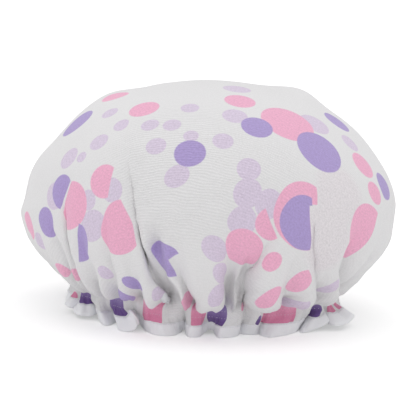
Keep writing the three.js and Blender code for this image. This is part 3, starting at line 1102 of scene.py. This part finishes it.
# %% [markdown]
# ## Materials
# The white cloth is a fine ribbed polyester. Its ribs are too fine for the photograph, which shows them
# as faint wavy ripples, so the ripples are put in with the ribs. The dots are printed on top.

# %% Material helpers


def new_material(name):
    """A node material with its tree and shader."""
    material = bpy.data.materials.new(name)
    material.use_nodes = True
    tree = material.node_tree
    return material, tree, tree.nodes["Principled BSDF"]


def node(tree, kind, **values):
    """Add a node and set its properties, or its inputs where the name is an input's."""
    made = tree.nodes.new(kind)
    for name, value in values.items():
        if hasattr(made, name):
            setattr(made, name, value)
        else:
            made.inputs[name.replace("_", " ")].default_value = value
    return made


def calculate(tree, operation, first, second=None, third=None):
    """A Math node's output for values or sockets."""
    made = tree.nodes.new("ShaderNodeMath")
    made.operation = operation
    for place, value in enumerate((first, second, third)):
        if value is None:
            continue
        if isinstance(value, (int, float)):
            made.inputs[place].default_value = value
        else:
            tree.links.new(value, made.inputs[place])
    return made.outputs[0]


def blend_colours(tree, share, below, above):
    """A colour mix of two colours or sockets."""
    made = tree.nodes.new("ShaderNodeMix")
    made.data_type = "RGBA"
    if isinstance(share, (int, float)):
        made.inputs["Factor"].default_value = share
    else:
        tree.links.new(share, made.inputs["Factor"])
    for name, value in (("A", below), ("B", above)):
        socket = next(s for s in made.inputs if s.name == name and s.type == "RGBA")
        if isinstance(value, tuple):
            socket.default_value = (*value, 1)
        else:
            tree.links.new(value, socket)
    return next(s for s in made.outputs if s.type == "RGBA")


def linear(red, green, blue):
    """A colour as it is read in the photograph, from 0 to 255, as the renderer's linear colour."""
    return tuple(
        c / 12.92 if c <= 0.04045 else ((c + 0.055) / 1.055) ** 2.4 for c in (red / 255, green / 255, blue / 255)
    )


# %% Printed cloth
cloth_material, tree, shader = new_material("printed_polyester")
flat_uv = node(tree, "ShaderNodeUVMap", uv_map="flat_map")
wobble = node(tree, "ShaderNodeTexNoise", Scale=1400.0, Detail=2.0)
tree.links.new(flat_uv.outputs[0], wobble.inputs["Vector"])
split = tree.nodes.new("ShaderNodeSeparateXYZ")
tree.links.new(flat_uv.outputs[0], split.inputs[0])


def dot_mask(colour, softness):
    """1 inside the nearest dot of a colour and 0 outside, with a soft edge."""
    known = node(tree, "ShaderNodeAttribute", attribute_name=colour)
    middle = tree.nodes.new("ShaderNodeSeparateXYZ")
    tree.links.new(known.outputs["Vector"], middle.inputs[0])
    across = calculate(tree, "SUBTRACT", split.outputs[0], middle.outputs[0])
    along = calculate(tree, "SUBTRACT", split.outputs[1], middle.outputs[1])
    squares = calculate(tree, "ADD", calculate(tree, "MULTIPLY", across, across), calculate(tree, "MULTIPLY", along, along))
    reach = calculate(tree, "SQRT", squares)
    ragged = calculate(tree, "MULTIPLY", calculate(tree, "SUBTRACT", wobble.outputs[0], 0.5), 0.0012)
    inside = calculate(tree, "SUBTRACT", calculate(tree, "ADD", middle.outputs[2], ragged), reach)
    made = calculate(tree, "DIVIDE", inside, softness)
    clamp = tree.nodes.new("ShaderNodeClamp")
    tree.links.new(calculate(tree, "ADD", made, 0.5), clamp.inputs[0])
    return clamp.outputs[0]


def cut_mask(spot, radius, wedges, softness):
    """1 inside one dot, but 0 on the cloth that lies in one of its wedges."""
    across = calculate(tree, "SUBTRACT", split.outputs[0], spot[0])
    along = calculate(tree, "SUBTRACT", split.outputs[1], spot[1])
    squares = calculate(tree, "ADD", calculate(tree, "MULTIPLY", across, across), calculate(tree, "MULTIPLY", along, along))
    inside = calculate(tree, "SUBTRACT", radius, calculate(tree, "SQRT", squares))
    for sides in wedges:
        beyond = 1.0
        for way_x, way_y, limit in sides:
            reach = calculate(tree, "ADD", calculate(tree, "MULTIPLY", split.outputs[0], way_x),
                              calculate(tree, "MULTIPLY", split.outputs[1], way_y))
            beyond = calculate(tree, "MINIMUM", beyond, calculate(tree, "SUBTRACT", reach, limit))
        inside = calculate(tree, "MINIMUM", inside, calculate(tree, "MULTIPLY", beyond, -1.0))
    clamp = tree.nodes.new("ShaderNodeClamp")
    tree.links.new(calculate(tree, "ADD", calculate(tree, "DIVIDE", inside, softness), 0.5), clamp.inputs[0])
    return clamp.outputs[0]


# Each ink has a colour over the stuffed crown and a deeper one for the ruffle. The deeper one is partly the bare,
# doubled cloth there and partly painted shade of the gathers.
inks = {
    "ghost_dot": (linear(227, 222, 225), linear(224, 219, 222)),
    "lavender_dot": (linear(218, 205, 224), linear(204, 186, 211)),
    "pink_dot": (linear(240, 178, 205), linear(221, 134, 169)),
    "purple_dot": (linear(175, 157, 209), linear(102, 74, 138)),
}
white = linear(229, 228, 229)
edge_softness = 0.0007
from_middle = tree.nodes.new("ShaderNodeVectorMath")
from_middle.operation = "LENGTH"
tree.links.new(flat_uv.outputs[0], from_middle.inputs[0])
# Share of the deeper ink, from the lower tuck out to the ruffle: partly painted shade of the gathers.
bare_and_shaded_share = node(tree, "ShaderNodeMapRange")
for socket, value in (("From Min", 0.252), ("From Max", 0.27)):
    bare_and_shaded_share.inputs[socket].default_value = value
tree.links.new(from_middle.outputs["Value"], bare_and_shaded_share.inputs["Value"])
colour = white
printed = None
for ink_name in ("ghost_dot", "lavender_dot", "pink_dot", "purple_dot"):
    mask = 0.0
    for ink, screen, _ in screens:
        if ink == ink_name:
            mask = calculate(tree, "MAXIMUM", mask, dot_mask(screen, edge_softness))
    for ink, spot, radius, wedges in cut_places:
        if ink == ink_name:
            softness = 8 * MM if ink == "ghost_dot" else edge_softness
            mask = calculate(tree, "MAXIMUM", mask, cut_mask(spot, radius, wedges, softness))
    printed = mask if printed is None else calculate(tree, "MAXIMUM", printed, mask)
    # Towards the ruffle the print takes its deeper ink, which is partly painted shade.
    crown_ink, bare_and_shaded_ink = inks[ink_name]
    colour = blend_colours(tree, mask, colour, blend_colours(tree, bare_and_shaded_share.outputs[0], crown_ink, bare_and_shaded_ink))
grain = node(tree, "ShaderNodeTexNoise", Scale=2600.0, Detail=3.0)
tree.links.new(flat_uv.outputs[0], grain.inputs["Vector"])
grain_share = calculate(tree, "MULTIPLY", calculate(tree, "SUBTRACT", grain.outputs[0], 0.5), 0.35)
mottle = node(tree, "ShaderNodeTexNoise", Scale=650.0, Detail=2.0)
tree.links.new(flat_uv.outputs[0], mottle.inputs["Vector"])
mottle_share = calculate(tree, "MULTIPLY", calculate(tree, "SUBTRACT", mottle.outputs[0], 0.5),
                         calculate(tree, "ADD", calculate(tree, "MULTIPLY", printed, 0.3), 0.12))
grain_share = calculate(tree, "ADD", grain_share, mottle_share)
shaded = node(tree, "ShaderNodeHueSaturation")
tree.links.new(colour, shaded.inputs["Color"])
tree.links.new(shaded.outputs[0], shader.inputs["Base Color"])
shader.inputs["Roughness"].default_value = 0.82
shader.inputs["Sheen Weight"].default_value = 0.15

ribs = node(tree, "ShaderNodeTexWave", bands_direction="Y", Scale=150.0, Distortion=7.0, Detail=1.0)
ribs.inputs["Detail Scale"].default_value = 0.35
tree.links.new(flat_uv.outputs[0], ribs.inputs["Vector"])
patches = node(tree, "ShaderNodeTexNoise", Scale=11.0, Detail=1.0)
tree.links.new(flat_uv.outputs[0], patches.inputs["Vector"])
patch_share = node(tree, "ShaderNodeMapRange")
for socket, value in (("From Min", 0.42), ("From Max", 0.6)):
    patch_share.inputs[socket].default_value = value
tree.links.new(patches.outputs[0], patch_share.inputs["Value"])
rippled = calculate(tree, "MULTIPLY", patch_share.outputs[0], 0.5)
for spot, reach in ripple_places:
    rippled = calculate(tree, "MAXIMUM", rippled, cut_mask(spot, reach, [], 30 * MM))
ripple = calculate(tree, "MULTIPLY", ribs.outputs["Fac"], rippled)
ripple_shade = calculate(tree, "MULTIPLY", calculate(tree, "SUBTRACT", ribs.outputs["Fac"], 0.5),
                         calculate(tree, "MULTIPLY", rippled, 0.07))
tree.links.new(calculate(tree, "ADD", calculate(tree, "ADD", grain_share, ripple_shade), 1.0), shaded.inputs["Value"])
bump = node(tree, "ShaderNodeBump", Strength=0.5, Distance=0.0004)
tree.links.new(calculate(tree, "ADD", ripple, calculate(tree, "MULTIPLY", grain.outputs[0], 0.5)), bump.inputs["Height"])
tree.links.new(bump.outputs[0], shader.inputs["Normal"])
cover_mesh.materials.clear()
cover_mesh.materials.append(cloth_material)

# %% Film, elastic and tape
film_material, tree, shader = new_material("milky_film")
place = tree.nodes.new("ShaderNodeTexCoord")
crinkle = node(tree, "ShaderNodeTexNoise", Scale=60.0, Detail=4.0)
tree.links.new(place.outputs["Object"], crinkle.inputs["Vector"])
tint = blend_colours(tree, crinkle.outputs[0], linear(222, 226, 230), linear(240, 242, 244))
tree.links.new(tint, shader.inputs["Base Color"])
shader.inputs["Roughness"].default_value = 0.35
bump = node(tree, "ShaderNodeBump", Strength=0.4, Distance=0.0008)
tree.links.new(crinkle.outputs[0], bump.inputs["Height"])
tree.links.new(bump.outputs[0], shader.inputs["Normal"])
liner_mesh.materials.clear()
liner_mesh.materials.append(film_material)

elastic_material, tree, shader = new_material("woven_elastic")
place = tree.nodes.new("ShaderNodeTexCoord")
cords = node(tree, "ShaderNodeTexWave", bands_direction="Z", Scale=400.0, Distortion=0.5)
tree.links.new(place.outputs["Object"], cords.inputs["Vector"])
tint = blend_colours(tree, cords.outputs["Fac"], linear(215, 215, 212), linear(245, 245, 242))
tree.links.new(tint, shader.inputs["Base Color"])
shader.inputs["Roughness"].default_value = 0.9
bump = node(tree, "ShaderNodeBump", Strength=0.5, Distance=0.0002)
tree.links.new(cords.outputs["Fac"], bump.inputs["Height"])
tree.links.new(bump.outputs[0], shader.inputs["Normal"])
elastic_mesh.materials.append(elastic_material)

tape_material, tree, shader = new_material("white_tape")
flat_uv = node(tree, "ShaderNodeUVMap", uv_map="flat_map")
threads = node(tree, "ShaderNodeTexNoise", Scale=1800.0, Detail=3.0)
tree.links.new(flat_uv.outputs[0], threads.inputs["Vector"])
tint = blend_colours(tree, threads.outputs[0], linear(241, 241, 246), linear(252, 252, 254))
tree.links.new(tint, shader.inputs["Base Color"])
shader.inputs["Roughness"].default_value = 0.85
bump = node(tree, "ShaderNodeBump", Strength=0.4, Distance=0.0002)
tree.links.new(threads.outputs[0], bump.inputs["Height"])
tree.links.new(bump.outputs[0], shader.inputs["Normal"])
tape_mesh.materials.clear()
tape_mesh.materials.append(tape_material)

thread_material, tree, shader = new_material("white_thread")
place = tree.nodes.new("ShaderNodeTexCoord")
twist = node(tree, "ShaderNodeTexNoise", Scale=2500.0, Detail=1.0)
tree.links.new(place.outputs["Object"], twist.inputs["Vector"])
tint = blend_colours(tree, twist.outputs[0], linear(200, 200, 208), linear(226, 226, 232))
tree.links.new(tint, shader.inputs["Base Color"])
shader.inputs["Roughness"].default_value = 0.7
thread_mesh.materials.append(thread_material)

# %% Say what rides on what
for piece in (cover, liner, elastic, hem_tape, stitches):
    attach(piece, "root")
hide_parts("outer_cover")
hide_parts("inner_liner")
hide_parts("elastic_band")
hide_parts("hem_binding")

# %% [markdown]
# ## Floor and light
# The photograph is bright and almost without shadows, so the light is a white sky, brightest overhead,
# with a weak soft lamp low at each side, the left one stronger. The floor is a very wide pale disc.

# %% Floor and light
ground = bmesh.new()
bmesh.ops.create_circle(ground, cap_ends=True, segments=96, radius=12)
floor_mesh = bpy.data.meshes.new("floor")
ground.to_mesh(floor_mesh)
ground.free()
floor = bpy.data.objects.new("floor", floor_mesh)
bpy.context.scene.collection.objects.link(floor)
floor_material, tree, shader = new_material("pale_floor")
shader.inputs["Base Color"].default_value = (0.84, 0.84, 0.84, 1)
shader.inputs["Emission Color"].default_value = (1, 1, 1, 1)
seen = tree.nodes.new("ShaderNodeLightPath")
glow = calculate(tree, "MULTIPLY", seen.outputs["Is Camera Ray"], 0.19)
glow = calculate(tree, "ADD", glow, 0.12)
tree.links.new(glow, shader.inputs["Emission Strength"])
shader.inputs["Roughness"].default_value = 0.9
floor_mesh.materials.append(floor_material)

horizon_light = 0.13
zenith_light = 1.4
world = bpy.data.worlds.new("soft_sky")
world.use_nodes = True
sky = world.node_tree
direction = sky.nodes.new("ShaderNodeTexCoord")
height = sky.nodes.new("ShaderNodeSeparateXYZ")
sky.links.new(direction.outputs["Generated"], height.inputs[0])
brightness = sky.nodes.new("ShaderNodeMapRange")
for socket, value in (("From Min", 0.0), ("From Max", 1.0), ("To Min", horizon_light), ("To Max", zenith_light)):
    brightness.inputs[socket].default_value = value
sky.links.new(height.outputs["Z"], brightness.inputs["Value"])
sky.nodes["Background"].inputs["Color"].default_value = (1, 1, 1, 1)
# A bright band at the horizon stands for the studio's white backdrop.
backdrop = sky.nodes.new("ShaderNodeMapRange")
for socket, value in (("From Min", 0.09), ("From Max", 0.15), ("To Min", 1.0), ("To Max", 0.0)):
    backdrop.inputs[socket].default_value = value
sky.links.new(height.outputs["Z"], backdrop.inputs["Value"])
brighter = calculate(sky, "MAXIMUM", brightness.outputs[0], backdrop.outputs[0])
sky.links.new(brighter, sky.nodes["Background"].inputs["Strength"])
bpy.context.scene.world = world


def soft_lamp(name, place, energy, size):
    """A square lamp aimed at the cap."""
    lamp = bpy.data.lights.new(name, "AREA")
    lamp.energy = energy
    lamp.size = size
    holder = bpy.data.objects.new(name, lamp)
    holder.location = place
    holder.rotation_euler = (Vector((0, 0, 80 * MM)) - holder.location).to_track_quat("-Z", "Y").to_euler()
    bpy.context.scene.collection.objects.link(holder)
    return holder


soft_lamp("left_lamp", Vector((-1.3, -0.5, 0.1)), 0.8, 0.5)
soft_lamp("right_lamp", Vector((1.3, -0.5, 0.1)), 0.35, 0.5)
bpy.context.scene.view_settings.view_transform = "Standard"
